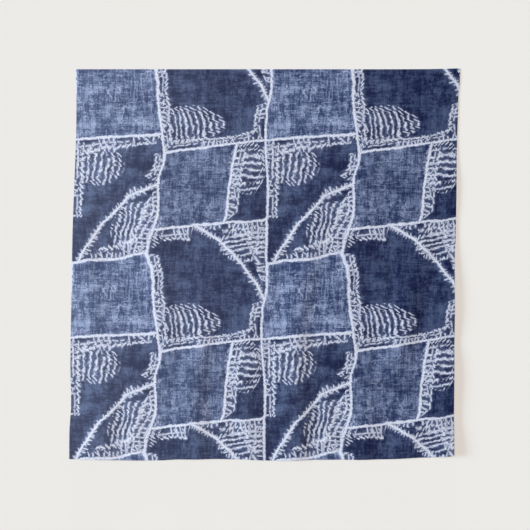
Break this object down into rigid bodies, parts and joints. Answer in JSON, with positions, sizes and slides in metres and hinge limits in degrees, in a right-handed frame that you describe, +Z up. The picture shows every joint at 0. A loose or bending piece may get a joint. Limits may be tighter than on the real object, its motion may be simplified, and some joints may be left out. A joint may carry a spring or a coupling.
{
  "type": "patchwork wall hanging",
  "caption": "Nearly square dyed cloth with a patchwork and stitch-mark pattern, hemmed all round, hung flat by its top edge.",
  "frame": {"origin": "middle of the cloth's top edge, in the plane of the wall that it hangs on", "axes": "+Z up along the hanging cloth, +X to the right as seen from the front, +Y out of the back towards the wall; the front faces -Y"},
  "size_m": [0.916, 0.0174, 0.9199],
  "materials": {
    "dyed_cloth": "matt woven cloth, indigo patches with pale stitch marks"
  },
  "bodies": {
    "root": {"cloth": "dyed_cloth"}
  },
  "joints": []
}
